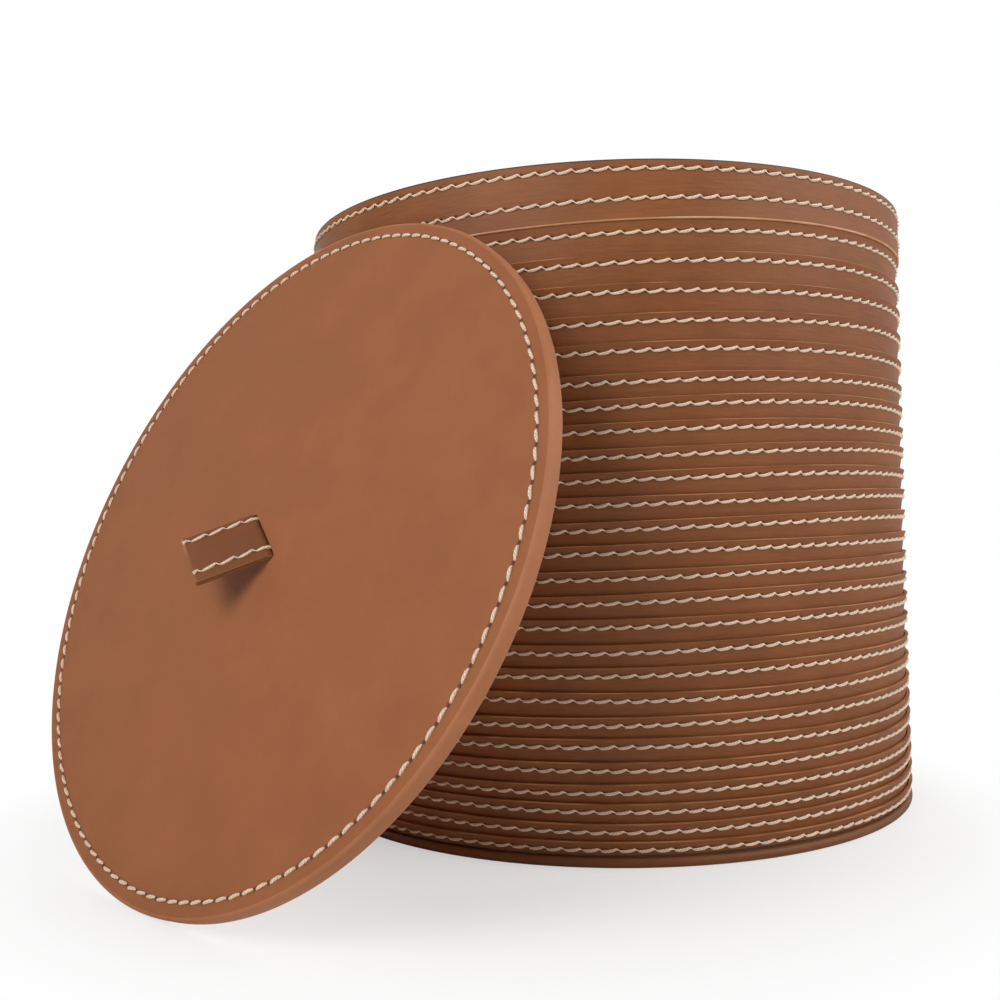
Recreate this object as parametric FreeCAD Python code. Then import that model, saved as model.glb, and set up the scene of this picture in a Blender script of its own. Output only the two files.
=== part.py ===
import FreeCAD, Part
import math
import os

# A round box: a board tube dressed in lapped leather strips, on a leather-covered base,
# with a loose flat lid that stands on the floor and leans on the box.
# The box's axis is Z, the floor is z = 0 and the front is -Y. Sizes in millimetres, angles in degrees.

# Leather, cloth and the thin joints between glued or sewn pieces
STRIP = 1.2
LINING = 0.6
GLUE = 0.05
FIT = 0.2

# Board tube of the wall
TUBE_R = 108.0
TUBE_WALL = 4.0

# Leather strips: how many there are of each width from the top down, and how much of each shows
FIRST_FACE = 9.8
UPPER_COUNT = 4
UPPER_FACE = 8.8
MIDDLE_COUNT = 14
MIDDLE_FACE = 7.22
LOWER_COUNT = 3
LOWER_FACE = 6.6
FOOT_COUNT = 3
FOOT_FACE = 5.6
LAST_FACE = 4.55
LAP = 4.0
SKIVED_EDGE = 0.4
LAST_EDGE = 0.6

# Rim: the strip round the mouth, its lap over the first strip, thinned towards the lower edge,
# and the collar above the lid's ledge
RIM_HEIGHT = 17.5
RIM_LAP = 3.5
RIM_EDGE = 0.6
COLLAR_DEPTH = 12.5
FACING = 1.2
RIM_BEVEL = 0.4

# Base: leather turned round a board disc, with a fine groove below the last strip
BASE_OVERHANG = 2.0
BASE_LEATHER = 0.9
BASE_BOARD = 1.4
BASE_TURN_UP = 1.1
BASE_TURN_IN = 0.7
BASE_FLANGE = 9.0
BASE_GROOVE = 0.1
FLOOR_BOARD = 2.0

# Lid
LID_CLEARANCE = 1.25
LID_LEATHER = 1.2
LID_CORE = 1.4
LID_UNDERSIDE = 1.75
LID_TOP_ROUND = 1.4
LID_SEAM_BEVEL = 0.4
LID_BACK_BEVEL = 0.6

# Pull tab: one strip folded double
TAB_LEATHER = 0.8
TAB_WIDTH = 20.3
TAB_LENGTH = 20.0
TAB_SLIT = 0.1
TAB_BEND = 1.2
TAB_LEAN = 52.6
TAB_RISE = 0.2
TAIL_LENGTH = 12.0

# How the lid leans: its place round the box from the front towards -X, its angle from the vertical,
# its turn from facing straight out, and the tab's turn in the lid's own plane
LID_BEARING = 39.6
LID_LEAN = 23.3
LID_TURN = 1.6
LID_SPIN = 50.8
LEAN_GAP = 0.7

V = FreeCAD.Vector
Z_AXIS = V(0, 0, 1)

# Radii of the wall
tube_inner = TUBE_R - TUBE_WALL
foot_r = TUBE_R + GLUE
collar_r = foot_r + SKIVED_EDGE + GLUE
rim_edge_r = foot_r + STRIP + GLUE
facing_outer = collar_r - GLUE
facing_inner = facing_outer - FACING
lining_outer = tube_inner - GLUE
lining_inner = lining_outer - LINING
base_r = TUBE_R + BASE_OVERHANG

# Heights of the base and of the strips' top edges, from the lowest strip up
base_top = BASE_LEATHER + BASE_BOARD + BASE_TURN_IN
floor_top = base_top + FLOOR_BOARD
faces = [LAST_FACE]
faces += [FOOT_FACE] * FOOT_COUNT
faces += [LOWER_FACE] * LOWER_COUNT
faces += [MIDDLE_FACE] * MIDDLE_COUNT
faces += [UPPER_FACE] * UPPER_COUNT
tops = []
height = base_top + BASE_GROOVE
for face in faces:
    height += face
    tops.append(height)
rim_foot = height + FIRST_FACE
rim_top = rim_foot + RIM_HEIGHT
ledge = rim_top - COLLAR_DEPTH
tube_top = ledge - LINING - GLUE

# Sizes of the lid, whose top face is z = 0 while it lies flat
lid_r = facing_inner - LID_CLEARANCE
lid_skirt = LID_LEATHER + LID_CORE
lid_thickness = lid_skirt + GLUE + LID_UNDERSIDE
lid_hollow_r = lid_r - LID_LEATHER
tab_thickness = 2 * TAB_LEATHER + TAB_SLIT


def line(x1, z1, x2, z2):
    return Part.LineSegment(V(x1, 0, z1), V(x2, 0, z2)).toShape()


def arc(x1, z1, xm, zm, x2, z2):
    return Part.Arc(V(x1, 0, z1), V(xm, 0, zm), V(x2, 0, z2)).toShape()


def turned(edges):
    """Ring or disc: a closed profile in the XZ plane turned round Z."""
    return Part.Face(Part.Wire(edges)).revolve(V(0, 0, 0), Z_AXIS, 360)


def turned_polygon(points):
    ends = points[1:] + points[:1]
    return turned([line(*a, *b) for a, b in zip(points, ends)])


def save(shape, name):
    body = shape.Solids[0]
    body.exportStep(f"parts/{name}.step")
    size = body.optimalBoundingBox()
    print(f"{name}: {size.XLength:.1f} x {size.YLength:.1f} x {size.ZLength:.1f}")


def wall_tube():
    return turned_polygon([
        (tube_inner, base_top), (TUBE_R, base_top), (TUBE_R, tube_top), (tube_inner, tube_top),
    ])


def wall_lining():
    """Cloth down the inside of the tube, turned out over its top edge as far as the rim's facing."""
    flange_r = facing_inner - GLUE
    return turned_polygon([
        (lining_inner, floor_top), (lining_outer, floor_top), (lining_outer, tube_top + GLUE),
        (flange_r, tube_top + GLUE), (flange_r, ledge), (lining_inner, ledge),
    ])


def lapped_strips():
    """The strips from the second one down: each is a wedge that stands off over the foot of the one above."""
    strips = []
    above_rise = STRIP / (FIRST_FACE + LAP)
    for index in reversed(range(len(faces))):
        top = tops[index]
        inner = foot_r + above_rise * LAP + GLUE
        outer = inner + STRIP
        if index:
            foot = tops[index - 1] - LAP
            profile = [(foot_r, foot), (outer, top), (inner, top)]
        else:
            foot = base_top + BASE_GROOVE
            profile = [(foot_r, foot), (foot_r + LAST_EDGE, foot), (outer, top), (inner, top)]
        strips.append(turned_polygon(profile))
        above_rise = (outer - foot_r) / (top - foot)
    return strips


def first_strip():
    """The top strip, thinned at both edges: its crest lies just under the rim's lower edge."""
    foot = tops[-1] - LAP
    top = rim_foot + RIM_LAP
    return turned_polygon([
        (foot_r, foot), (foot_r + STRIP, rim_foot), (foot_r + SKIVED_EDGE, top), (foot_r, top),
    ])


def rim_band():
    """The strip round the mouth: upright above the ledge, flared over the first strip below it."""
    outer = collar_r + STRIP
    return turned_polygon([
        (rim_edge_r, rim_foot), (collar_r, ledge),
        (collar_r, rim_top), (outer - RIM_BEVEL, rim_top), (outer, rim_top - RIM_BEVEL),
        (outer, ledge), (rim_edge_r + RIM_EDGE, rim_foot),
    ])


def rim_facing():
    """The strip inside the mouth, standing on the tube's top edge."""
    foot = tube_top + GLUE
    return turned_polygon([
        (facing_inner, foot), (facing_inner, rim_top - RIM_BEVEL), (facing_inner + RIM_BEVEL, rim_top),
        (facing_outer, rim_top), (facing_outer, foot),
    ])


def base_cover():
    """Leather under the base board, turned up round its edge and in over its rim."""
    middle = base_top / 2
    flat_r = base_r - middle
    flange_r = base_r - BASE_FLANGE
    board_r = base_r - BASE_TURN_UP
    board_top = BASE_LEATHER + BASE_BOARD
    return turned([
        line(0, 0, flat_r, 0),
        arc(flat_r, 0, base_r, middle, flat_r, base_top),
        line(flat_r, base_top, flange_r, base_top),
        line(flange_r, base_top, flange_r, board_top),
        line(flange_r, board_top, board_r, board_top),
        line(board_r, board_top, board_r, BASE_LEATHER),
        line(board_r, BASE_LEATHER, 0, BASE_LEATHER),
        line(0, BASE_LEATHER, 0, 0),
    ])


def disc(radius, low, high):
    return Part.makeCylinder(radius, high - low, V(0, 0, low))


def lid_cover():
    """Leather of the lid's top, turned down round the edge, slotted at the middle for the tab."""
    seam = -lid_skirt
    flat_r = lid_r - LID_TOP_ROUND
    shoulder = LID_TOP_ROUND * math.sin(math.radians(45))
    cover = turned([
        line(0, 0, flat_r, 0),
        arc(flat_r, 0, flat_r + shoulder, shoulder - LID_TOP_ROUND, lid_r, -LID_TOP_ROUND),
        line(lid_r, -LID_TOP_ROUND, lid_r, seam + LID_SEAM_BEVEL),
        line(lid_r, seam + LID_SEAM_BEVEL, lid_r - LID_SEAM_BEVEL, seam),
        line(lid_r - LID_SEAM_BEVEL, seam, lid_hollow_r, seam),
        line(lid_hollow_r, seam, lid_hollow_r, -LID_LEATHER),
        line(lid_hollow_r, -LID_LEATHER, 0, -LID_LEATHER),
        line(0, -LID_LEATHER, 0, 0),
    ])
    return cover.cut(centred_box(tab_thickness + FIT, TAB_WIDTH + FIT, -lid_skirt, LID_LEATHER))


def centred_box(x_size, y_size, low, high):
    return Part.makeBox(x_size, y_size, high - low, V(-x_size / 2, -y_size / 2, low))


def lid_core():
    """Board inside the lid, with a window that the tab's tails lie in."""
    core = disc(lid_hollow_r - GLUE, -lid_skirt, -LID_LEATHER - GLUE)
    window = tab_thickness + 2 * (TAIL_LENGTH + FIT)
    return core.cut(centred_box(window, TAB_WIDTH + 2 * FIT, -lid_thickness, 0))


def lid_underside():
    top = -lid_skirt - GLUE
    foot = -lid_thickness
    return turned_polygon([
        (0, foot), (0, top), (lid_r - LID_SEAM_BEVEL, top), (lid_r, top - LID_SEAM_BEVEL),
        (lid_r, foot + LID_BACK_BEVEL), (lid_r - LID_BACK_BEVEL, foot),
    ])


def turn_point(centre, radius, angle):
    a = math.radians(angle)
    return V(centre.x + radius * math.cos(a), 0, centre.z + radius * math.sin(a))


def pull_tab():
    """One strip swept along its fold: a tail, the way up through the slot, the fold, the way down, a tail."""
    half = (TAB_LEATHER + TAB_SLIT) / 2
    tail_z = -LID_LEATHER - GLUE - TAB_LEATHER / 2
    bend_r = -LID_LEATHER - tail_z
    lean_centre = V(-half - TAB_BEND, 0, TAB_RISE)
    along = turn_point(V(), 1, 90 + TAB_LEAN)
    tip = turn_point(lean_centre, TAB_BEND + half, TAB_LEAN) + along * TAB_LENGTH

    def bend(centre, radius, start, end):
        angles = (start, (start + end) / 2, end)
        return [turn_point(centre, radius, angle) for angle in angles]

    far_bend = TAB_BEND + 2 * half
    near_tail = bend(V(-half - bend_r, 0, tail_z + bend_r), bend_r, -90, 0)
    near_lean = bend(lean_centre, TAB_BEND, 0, TAB_LEAN)
    fold = bend(tip, half, TAB_LEAN + 180, TAB_LEAN)
    far_lean = bend(lean_centre, far_bend, TAB_LEAN, 0)
    far_tail = bend(V(half + bend_r, 0, tail_z + bend_r), bend_r, 180, 270)
    turns = [near_tail, near_lean, fold, far_lean, far_tail]
    start = near_tail[0] - V(TAIL_LENGTH - bend_r, 0, 0)
    stop = far_tail[2] + V(TAIL_LENGTH - bend_r, 0, 0)
    edges = []
    last = start
    for a, middle, b in turns:
        edges.append(Part.LineSegment(last, a).toShape())
        edges.append(Part.Arc(a, middle, b).toShape())
        last = b
    edges.append(Part.LineSegment(last, stop).toShape())
    path = Part.Wire(edges)
    corner = start + V(0, TAB_WIDTH / 2, -TAB_LEATHER / 2)
    section = Part.makePlane(TAB_LEATHER, TAB_WIDTH, corner, V(1, 0, 0), V(0, 0, 1))
    return path.makePipeShell([section.OuterWire], True, False)


def leaning_lid():
    """Where the lid goes: its back edge on the floor below and against the rim above."""
    lean = math.radians(LID_LEAN)
    side = lid_thickness - LID_BACK_BEVEL
    back = lid_r - LID_BACK_BEVEL
    foot_z = max(lid_r * math.cos(lean) + side * math.sin(lean),
                 back * math.cos(lean) + lid_thickness * math.sin(lean))
    top_z = foot_z + back * math.cos(lean) - lid_thickness * math.sin(lean)
    over_rim = max(0, top_z - rim_top) * math.tan(lean)
    wall = collar_r + STRIP + LEAN_GAP - over_rim
    reach = max(lid_r * math.sin(lean) + side * math.cos(lean),
                back * math.sin(lean) + lid_thickness * math.cos(lean))
    right = V(0, 1, 0)
    up = V(-math.sin(lean), 0, math.cos(lean))
    out = V(math.cos(lean), 0, math.sin(lean))
    leaned = FreeCAD.Rotation(right, up, out, "ZYX")
    bearing = FreeCAD.Rotation(Z_AXIS, 270 - LID_BEARING)
    turn = FreeCAD.Rotation(Z_AXIS, LID_TURN)
    spin = FreeCAD.Rotation(Z_AXIS, LID_SPIN)
    centre = bearing.multVec(V(wall + reach, 0, foot_z))
    return FreeCAD.Placement(centre, bearing * turn * leaned * spin)


os.makedirs("parts", exist_ok=True)

save(base_cover(), "base_cover")
save(disc(base_r - BASE_TURN_UP - GLUE, BASE_LEATHER, BASE_LEATHER + BASE_BOARD), "base_board")
save(disc(tube_inner - FIT, base_top, floor_top), "floor_board")
save(disc(lining_inner - FIT, floor_top, floor_top + LINING), "floor_lining")
save(wall_tube(), "wall_tube")
save(wall_lining(), "wall_lining")
save(first_strip(), "band_01")
for number, strip in enumerate(lapped_strips(), start=2):
    save(strip, f"band_{number:02d}")
save(rim_band(), "rim_band")
save(rim_facing(), "rim_facing")

lid_place = leaning_lid()
lid_pieces = {
    "lid_cover": lid_cover(),
    "lid_core": lid_core(),
    "lid_underside": lid_underside(),
    "pull_tab": pull_tab(),
}
for name, piece in lid_pieces.items():
    piece.Placement = lid_place
    save(piece, name)
print(f"height {rim_top:.1f}, lid radius {lid_r:.2f}, lid centre {lid_place.Base}")
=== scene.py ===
# %% [markdown]
# This scene dresses a round box of lapped and sewn leather strips, whose loose lid leans on it. The
# solids come from the frame, which fixes every size and place, in metres, with the box's axis on Z, the
# front towards -Y and the floor at z = 0. Blender adds what the eye looks for in leather work: soft
# edges, rows of thread, grain, and the even light of a white studio.

# %% Load the frame
import bisect
import math
import random

import bpy
from mathutils import Matrix, Vector


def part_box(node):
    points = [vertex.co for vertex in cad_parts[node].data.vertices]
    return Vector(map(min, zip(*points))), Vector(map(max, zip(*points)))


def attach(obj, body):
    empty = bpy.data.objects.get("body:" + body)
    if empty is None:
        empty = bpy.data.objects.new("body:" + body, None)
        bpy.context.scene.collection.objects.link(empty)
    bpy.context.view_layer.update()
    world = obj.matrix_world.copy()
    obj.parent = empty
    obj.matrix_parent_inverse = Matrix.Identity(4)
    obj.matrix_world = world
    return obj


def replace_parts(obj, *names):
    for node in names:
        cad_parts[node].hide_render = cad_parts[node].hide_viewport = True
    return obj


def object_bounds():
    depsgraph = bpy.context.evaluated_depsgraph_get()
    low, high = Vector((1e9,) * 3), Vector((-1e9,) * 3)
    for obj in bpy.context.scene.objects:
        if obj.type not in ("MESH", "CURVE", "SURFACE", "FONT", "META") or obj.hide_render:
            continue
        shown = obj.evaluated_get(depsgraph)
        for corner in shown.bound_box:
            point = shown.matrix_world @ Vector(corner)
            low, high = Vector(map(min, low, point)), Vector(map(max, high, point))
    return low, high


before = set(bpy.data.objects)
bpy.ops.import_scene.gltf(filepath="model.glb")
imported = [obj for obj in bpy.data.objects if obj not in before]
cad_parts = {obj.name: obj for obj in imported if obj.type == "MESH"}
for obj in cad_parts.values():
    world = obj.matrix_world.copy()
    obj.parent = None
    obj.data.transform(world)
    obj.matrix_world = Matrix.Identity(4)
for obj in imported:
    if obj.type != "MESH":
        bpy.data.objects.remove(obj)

MM = 0.001
cad_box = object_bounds()
cad_size = [round(v / MM, 1) for v in cad_box[1] - cad_box[0]]
print("frame:", len(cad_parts), "nodes, box in mm", cad_size)

# %% [markdown]
# Most pieces are rings round one axis, so one helper turns an outline into a ring. Blender's Screw
# modifier could do the same, but building the rings in code lets each run of the outline have its own
# finish (smooth face or cut edge), lets the plan wander a little as hand work does, and stores where
# each point lies from its row of stitches. That goes into a UV map, u in stitches and v in metres, for
# the needle holes.

# %% Turn outlines into rings
SEGMENTS = 256
SEAM = math.radians(90)
SHARP = math.radians(50)
FAR_FROM_SEWING = 1.0


def bent(corners, steps=4):
    """Outline points from (radius, height, bend, finish) corners, each corner rounded by its bend.

    A finish is a place in the piece's list of materials, for the run that follows the corner."""
    points = []
    for last, here, after in zip(corners[-1:] + corners[:-1], corners, corners[1:] + corners[:1]):
        corner = Vector(here[:2])
        bend, finish = here[2:]
        if not bend:
            points.append((*corner, finish))
            continue
        start = corner + (Vector(last[:2]) - corner).normalized() * bend
        end = corner + (Vector(after[:2]) - corner).normalized() * bend
        for step in range(steps + 1):
            t = step / steps
            point = start * (1 - t) ** 2 + corner * 2 * t * (1 - t) + end * t ** 2
            points.append((*point, finish if step == steps else max(finish, last[3])))
    return points


def circle(angle, radius):
    return radius * math.cos(angle), radius * math.sin(angle)


def level(angle, height):
    return 0.0


def unsewn(radius, height):
    return FAR_FROM_SEWING


def mesh_piece(name, verts, faces, picks, uvs, finishes):
    """Smooth mesh object with a finish for each face and a UV pair for each corner of a face."""
    mesh = bpy.data.meshes.new(name)
    mesh.from_pydata(verts, [], faces)
    mesh.polygons.foreach_set("material_index", picks)
    layer = mesh.uv_layers.new(name="sewing")
    layer.data.foreach_set("uv", [value for pair in uvs for value in pair])
    mesh.shade_smooth()
    mesh.set_sharp_from_angle(angle=SHARP)
    for finish in finishes:
        mesh.materials.append(finish)
    piece = bpy.data.objects.new(name, mesh)
    bpy.context.scene.collection.objects.link(piece)
    return piece


def turned(name, outline, finishes, plan=circle, wander=level, from_row=unsewn, stitches=0, phase=0.0):
    """Ring from a closed outline, which runs counterclockwise with the radius to the right."""
    verts = []
    index = {}
    for k, (radius, height, _) in enumerate(outline):
        for step in range(SEGMENTS):
            if radius == 0 and step:
                index[k, step] = index[k, 0]
                continue
            angle = SEAM + 2 * math.pi * step / SEGMENTS
            index[k, step] = len(verts)
            verts.append((*plan(angle, radius), height + wander(angle, height)))
    faces = []
    picks = []
    uvs = []
    for k, (radius, _, finish) in enumerate(outline):
        after = (k + 1) % len(outline)
        if radius == 0 and outline[after][0] == 0:
            continue
        for step in range(SEGMENTS):
            corners = {}
            for point, s in ((k, step), (k, step + 1), (after, step + 1), (after, step)):
                u = phase + stitches * (SEAM / (2 * math.pi) + s / SEGMENTS)
                corners.setdefault(index[point, s % SEGMENTS], (u, from_row(*outline[point][:2])))
            faces.append(tuple(corners))
            picks.append(finish)
            uvs.extend(corners.values())
    return mesh_piece(name, verts, faces, picks, uvs, finishes)


print("rings are turned in", SEGMENTS, "steps")

# %% [markdown]
# The finishes come next, because each piece takes them as it is made. Colours are written as hex
# values, as a painter would note them, and one function turns them into the linear values that Blender
# works in. A second small function adds any node with its settings and links, so that a material reads
# as a list.

# %% Colours and nodes


def linear(code):
    """Linear RGBA from an sRGB hex code such as 9A6341."""
    shares = [int(code[i:i + 2], 16) / 255 for i in (0, 2, 4)]
    rgb = [s / 12.92 if s <= 0.04045 else ((s + 0.055) / 1.055) ** 2.4 for s in shares]
    return (*rgb, 1.0)


def add(tree, kind, settings=None, links=None):
    """Adds a node: settings go to properties or sockets, and links join sockets to other outputs."""
    made = tree.nodes.new(kind)
    for key, value in (settings or {}).items():
        if isinstance(key, str) and hasattr(made, key):
            setattr(made, key, value)
        else:
            made.inputs[key].default_value = value
    for key, source in (links or {}).items():
        tree.links.new(source, made.inputs[key])
    return made.outputs


def new_finish(name):
    """Empty material and its node tree."""
    material = bpy.data.materials.new(name)
    material.use_nodes = True
    material.node_tree.nodes.clear()
    return material, material.node_tree


def per_mm(size):
    """Texture scale at which one feature is that many millimetres across."""
    return 1 / (size * MM)


print("a mid brown is", [round(v, 3) for v in linear("9A6341")])

# %% [markdown]
# The leather is vegetable-tanned cowhide, dyed tan and finished with a thin wax: IOR 1.45, a satin
# roughness near 0.6, a pebble grain under a millimetre across and a soft mottle. On the strips, bending
# has drawn short creases and streaks along the length. The needle pulls the surface down at every hole,
# which the UV map places, and the thread presses in a shallow groove. Each hole and a band along the row
# of thread are painted darker, towards a dark brown, as painted shade round the stitches. All heights
# are added up in millimetres and go through one Bump node, and each colour is a mix of a darker and a
# lighter tone of the same hide. The lid's hide is painted lighter than the strips' as painted light, its
# edge paler still as a painted highlight, and the tab and the base darker as painted shade.

# %% Leather
STITCH = 5.4
# Real grain is finer, near 0.3 mm, and is drawn coarser so that it shows in the render
GRAIN = 0.75
GRAIN_DEPTH = 0.035
CREASE_LENGTH = 9.0
CREASE_WIDTH = 0.9
MOTTLE = 22.0
HOLE = 0.9
HOLE_DEPTH = 0.4
# Painted shade: each needle hole and a band along every row of thread are painted towards a dark brown
HOLE_PAINTED_SHADE = 0.6
HOLE_SHADOW_COLOUR = "3A1E10"
GROOVE = 1.0
GROOVE_PAINTED_SHADE = 0.3
SATIN = (0.53, 0.67)


def leather(name, dark, light, streaks, crease_depth):
    material, tree = new_finish(name)
    place = add(tree, "ShaderNodeTexCoord")["Object"]
    spot = add(tree, "ShaderNodeSeparateXYZ", None, {"Vector": place})
    row = add(tree, "ShaderNodeUVMap", {"uv_map": "sewing"})["UV"]
    sewing = add(tree, "ShaderNodeSeparateXYZ", None, {"Vector": row})

    mottle = add(tree, "ShaderNodeTexNoise", {"Scale": per_mm(MOTTLE), "Detail": 5.0, "Roughness": 0.6},
                 {"Vector": place})["Fac"]
    strip_place = add(tree, "ShaderNodeCombineXYZ", None, {"X": sewing["X"], "Y": spot["Z"]})["Vector"]
    stretch = (STITCH / CREASE_LENGTH, per_mm(CREASE_WIDTH), 1.0)
    drawn = add(tree, "ShaderNodeVectorMath", {"operation": "MULTIPLY", 1: stretch},
                {0: strip_place})["Vector"]
    crease = add(tree, "ShaderNodeTexNoise", {"Scale": 1.0, "Detail": 3.0, "Distortion": 0.5},
                 {"Vector": drawn})["Fac"]
    tone = add(tree, "ShaderNodeMix", {0: streaks}, {2: mottle, 3: crease})[0]
    tone = add(tree, "ShaderNodeMapRange", {"From Min": 0.3, "From Max": 0.7}, {"Value": tone})["Result"]
    colour = add(tree, "ShaderNodeMix", {"data_type": "RGBA", 6: linear(dark), 7: linear(light)},
                 {0: tone})[2]
    grain = add(tree, "ShaderNodeTexVoronoi", {"Scale": per_mm(GRAIN), "feature": "SMOOTH_F1"},
                {"Vector": place})["Distance"]

    beside = add(tree, "ShaderNodeMath", {"operation": "PINGPONG", 1: 0.5}, {0: sewing["X"]})["Value"]
    beside = add(tree, "ShaderNodeMath", {"operation": "MULTIPLY", 1: STITCH * MM}, {0: beside})["Value"]
    from_hole = add(tree, "ShaderNodeCombineXYZ", None, {"X": beside, "Y": sewing["Y"]})["Vector"]
    from_hole = add(tree, "ShaderNodeVectorMath", {"operation": "LENGTH"}, {0: from_hole})["Value"]
    hole = add(tree, "ShaderNodeMapRange", {"interpolation_type": "SMOOTHSTEP", "From Max": HOLE * MM,
               "To Min": 1.0, "To Max": 0.0}, {"Value": from_hole})["Result"]

    grain_mm = add(tree, "ShaderNodeMath", {"operation": "MULTIPLY", 1: -GRAIN_DEPTH}, {0: grain})["Value"]
    crease_mm = add(tree, "ShaderNodeMath", {"operation": "MULTIPLY_ADD", 1: crease_depth},
                    {0: crease, 2: grain_mm})["Value"]
    height = add(tree, "ShaderNodeMath", {"operation": "MULTIPLY_ADD", 1: -HOLE_DEPTH},
                 {0: hole, 2: crease_mm})["Value"]
    bump = add(tree, "ShaderNodeBump", {"Strength": 1.0, "Distance": MM}, {"Height": height})["Normal"]

    # Painted shade round the stitches: the holes and a band along the row mix towards the shadow colour
    beside_row = add(tree, "ShaderNodeMath", {"operation": "ABSOLUTE"}, {0: sewing["Y"]})["Value"]
    groove_shade_mask = add(tree, "ShaderNodeMapRange", {"interpolation_type": "SMOOTHSTEP", "From Max": GROOVE * MM,
                 "To Min": GROOVE_PAINTED_SHADE, "To Max": 0.0}, {"Value": beside_row})["Result"]
    hole_and_groove_shade = add(tree, "ShaderNodeMath", {"operation": "MULTIPLY_ADD", 1: HOLE_PAINTED_SHADE},
                 {0: hole, 2: groove_shade_mask})["Value"]
    colour_with_stitch_shade = add(tree, "ShaderNodeMix", {"data_type": "RGBA", 7: linear(HOLE_SHADOW_COLOUR)},
                      {0: hole_and_groove_shade, 6: colour})[2]
    gloss = add(tree, "ShaderNodeMapRange", {"To Min": SATIN[0], "To Max": SATIN[1]},
                {"Value": mottle})["Result"]
    shader = add(tree, "ShaderNodeBsdfPrincipled", {"IOR": 1.45},
                 {"Base Color": colour_with_stitch_shade, "Roughness": gloss, "Normal": bump})["BSDF"]
    add(tree, "ShaderNodeOutputMaterial", None, {"Surface": shader})
    return material


STRIP_LEATHER = leather("strip_leather", "7E4620", "965A2D", 0.4, 0.1)
# The lid's hide is the strips' leather painted lighter, as painted light on its upturned face
LID_LEATHER_PAINTED_LIGHT = leather("lid_leather", "96582F", "A26138", 0.0, 0.0)
# The lid's edge is painted paler still, as a painted highlight on its side and rounding
LID_EDGE_PAINTED_LIGHT = leather("lid_edge_painted_light", "A5663C", "B3724A", 0.0, 0.0)
# The tab is the strips' leather painted darker, as painted shade
TAB_HIDE_PAINTED_SHADE = leather("tab_leather", "73401D", "814922", 0.0, 0.0)
# The base is the strips' leather painted darker, as painted shade low by the floor
BASE_HIDE_PAINTED_SHADE = leather("base_hide_painted_shade", "6E3C1B", "814C25", 0.4, 0.0)
print("leather:", [hide.name for hide in (STRIP_LEATHER, LID_LEATHER_PAINTED_LIGHT, LID_EDGE_PAINTED_LIGHT, TAB_HIDE_PAINTED_SHADE, BASE_HIDE_PAINTED_SHADE)])

# %% [markdown]
# Where leather is cut, its paler and rougher inside shows. On the strips and the tab the cut edges are
# painted lighter still, in long stretches, as painted highlight; the rim's lower edge, which faces down,
# is painted brightest of all, partly the paler raw leather and partly painted light; round the mouth the
# edges carry a dark edge paint. The thread is waxed linen, twisted from three strands, cream and matt,
# and the grooves between its strands are painted darker as painted shade. The inside is lined with
# brushed suede, and the boards, which nothing shows, are plain grey-brown.

# %% Edge, thread, suede and board
# Fibres, the thread's twist and the nap are finer in life and are drawn coarser so that they show
EDGE_FIBRE = 0.5
EDGE_STRETCH = 25.0
STRANDS = 3
TWIST = 3.2
NAP = 0.5
NAP_STROKE = 35.0
BOARD_FLECK = 1.5


def cut_edge(name, dark, light):
    material, tree = new_finish(name)
    place = add(tree, "ShaderNodeTexCoord")["Object"]
    fibre = add(tree, "ShaderNodeTexNoise", {"Scale": per_mm(EDGE_FIBRE), "Detail": 3.0},
                {"Vector": place})["Fac"]
    # Long stretches mix the darker and the lighter tone; on the pale cut edges the lighter stretches are
    # painted highlight
    stretch = add(tree, "ShaderNodeTexNoise", {"Scale": per_mm(EDGE_STRETCH)}, {"Vector": place})["Fac"]
    tone = add(tree, "ShaderNodeMapRange", {"From Min": 0.4, "From Max": 0.6}, {"Value": stretch})["Result"]
    colour = add(tree, "ShaderNodeMix", {"data_type": "RGBA", 6: linear(dark), 7: linear(light)},
                 {0: tone})[2]
    bump = add(tree, "ShaderNodeBump", {"Strength": 0.6, "Distance": 0.1 * MM}, {"Height": fibre})["Normal"]
    shader = add(tree, "ShaderNodeBsdfPrincipled", {"IOR": 1.45, "Roughness": 0.7},
                 {"Base Color": colour, "Normal": bump})["BSDF"]
    add(tree, "ShaderNodeOutputMaterial", None, {"Surface": shader})
    return material


def linen_thread():
    material, tree = new_finish("waxed_linen_thread")
    row = add(tree, "ShaderNodeUVMap", {"uv_map": "sewing"})["UV"]
    lay = add(tree, "ShaderNodeSeparateXYZ", None, {"Vector": row})
    turns = add(tree, "ShaderNodeMath", {"operation": "MULTIPLY_ADD", 1: per_mm(TWIST)},
                {0: lay["X"], 2: lay["Y"]})["Value"]
    turns = add(tree, "ShaderNodeMath", {"operation": "MULTIPLY", 1: STRANDS * 2 * math.pi},
                {0: turns})["Value"]
    strand = add(tree, "ShaderNodeMath", {"operation": "SINE"}, {0: turns})["Value"]
    share = add(tree, "ShaderNodeMapRange", {"From Min": -1.0}, {"Value": strand})["Result"]
    # The strand wave sets both bump and colour: the grooves between strands are painted darker as painted
    # shade
    colour = add(tree, "ShaderNodeMix", {"data_type": "RGBA", 6: linear("E2C09C"), 7: linear("FDEBD6")},
                 {0: share})[2]
    bump = add(tree, "ShaderNodeBump", {"Strength": 0.7, "Distance": 0.12 * MM},
               {"Height": share})["Normal"]
    shader = add(tree, "ShaderNodeBsdfPrincipled", {"IOR": 1.5, "Roughness": 0.65},
                 {"Base Color": colour, "Normal": bump})["BSDF"]
    add(tree, "ShaderNodeOutputMaterial", None, {"Surface": shader})
    return material


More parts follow.
